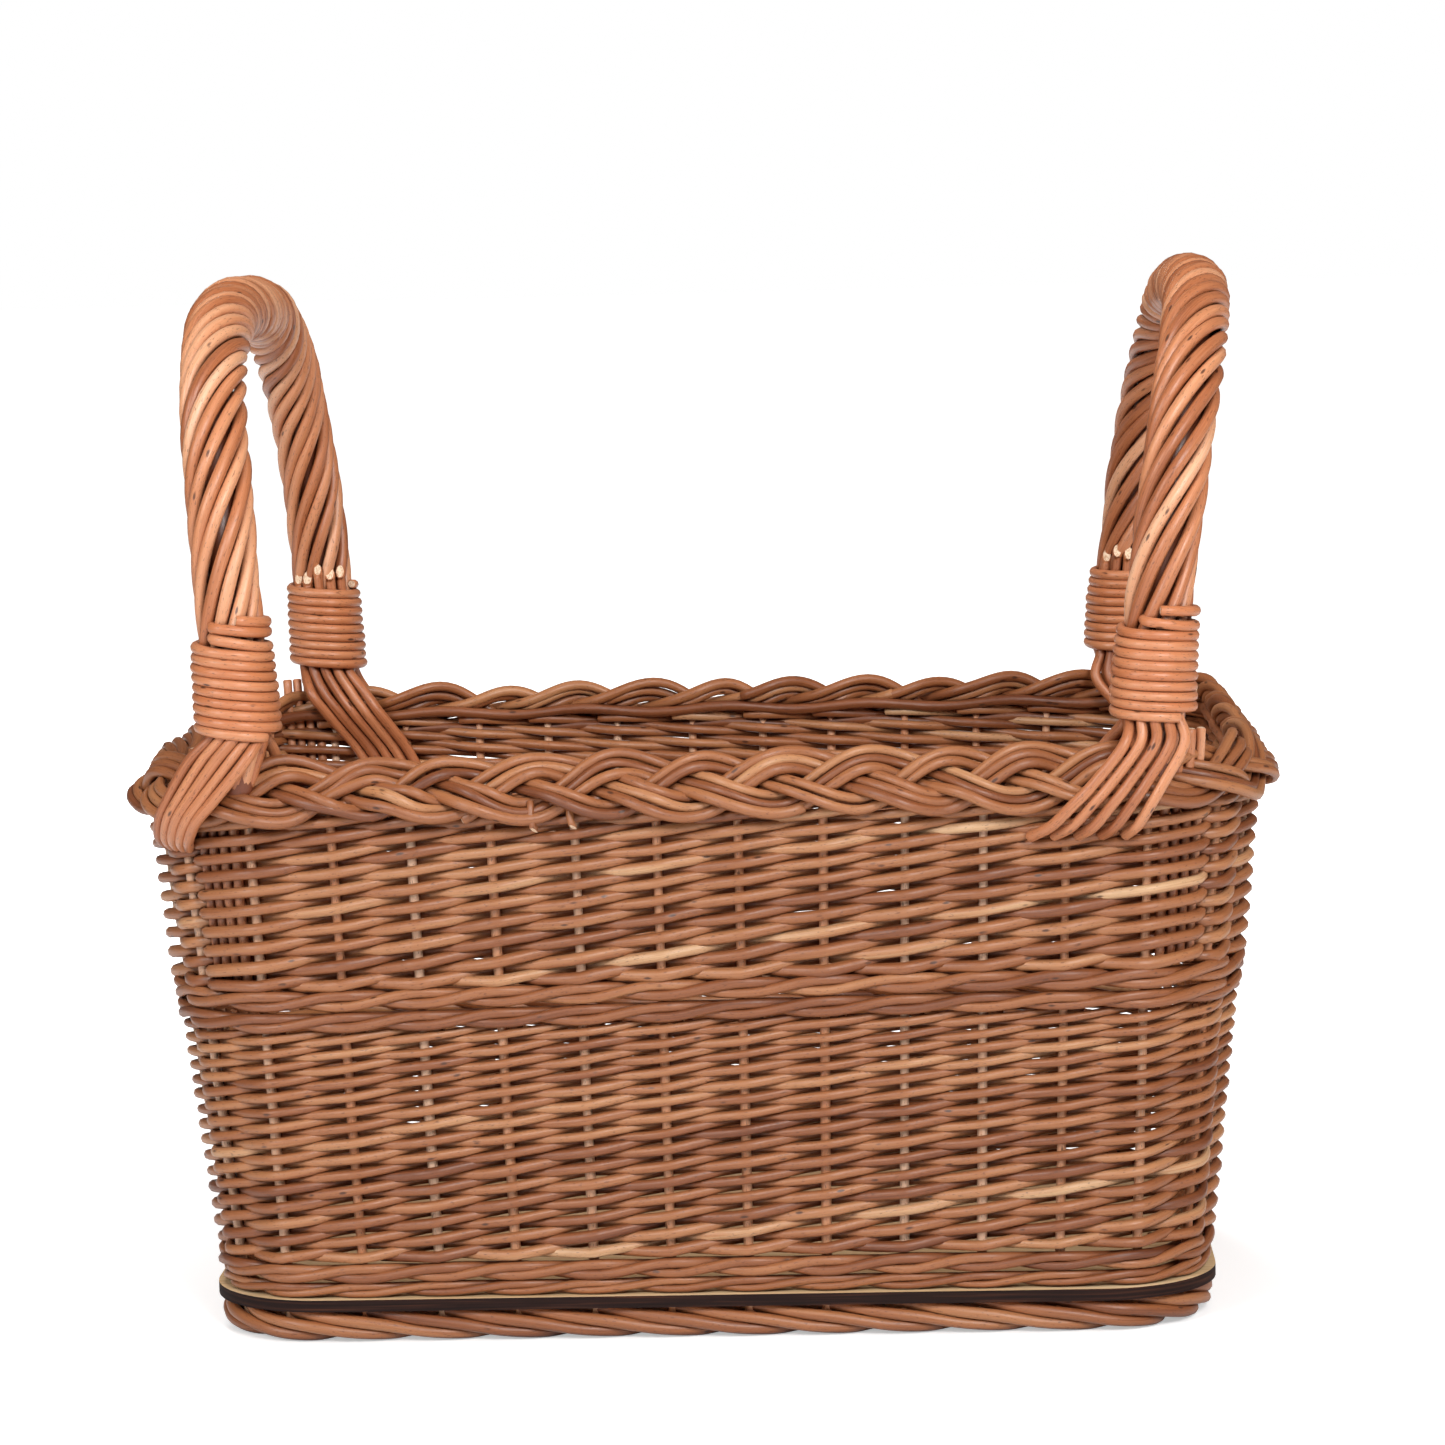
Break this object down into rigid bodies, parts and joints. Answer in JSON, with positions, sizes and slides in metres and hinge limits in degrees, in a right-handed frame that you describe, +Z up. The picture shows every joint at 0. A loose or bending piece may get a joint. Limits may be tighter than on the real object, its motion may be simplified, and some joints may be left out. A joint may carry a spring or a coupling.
{
  "type": "wicker log basket",
  "caption": "Rectangular woven willow log basket on a flat board, flared walls, plaited rim, with a twisted rope-like handle arched over each short side.",
  "frame": {"origin": "on the floor, under the middle of the basket", "axes": "+X along the length, to the right seen from the front; +Y to the back; +Z up"},
  "size_m": [0.5872, 0.4102, 0.5323],
  "materials": {
    "plywood": "matte",
    "stake_willow": "satin",
    "woven_willow": "satin",
    "handle_willow": "satin",
    "binding_willow": "satin"
  },
  "bodies": {
    "root": {"back_left_core_ends": "handle_willow", "back_left_fan": "handle_willow", "back_left_wrap": "binding_willow", "back_right_core_ends": "handle_willow", "back_right_fan": "handle_willow", "back_right_wrap": "binding_willow", "back_stakes": "stake_willow", "base_board": "plywood", "base_wale_lower": "woven_willow", "base_wale_upper": "woven_willow", "foot_border": "woven_willow", "front_left_core_ends": "handle_willow", "front_left_fan": "handle_willow", "front_left_wrap": "binding_willow", "front_right_core_ends": "handle_willow", "front_right_fan": "handle_willow", "front_right_wrap": "binding_willow", "front_stakes": "stake_willow", "left_handle_core": "handle_willow", "left_handle_rods": "handle_willow", "left_stakes": "stake_willow", "lower_weave": "woven_willow", "middle_wale_lower": "woven_willow", "middle_wale_upper": "woven_willow", "right_handle_core": "handle_willow", "right_handle_rods": "handle_willow", "right_stakes": "stake_willow", "rim_border": "woven_willow", "upper_weave": "woven_willow"}
  },
  "joints": []
}
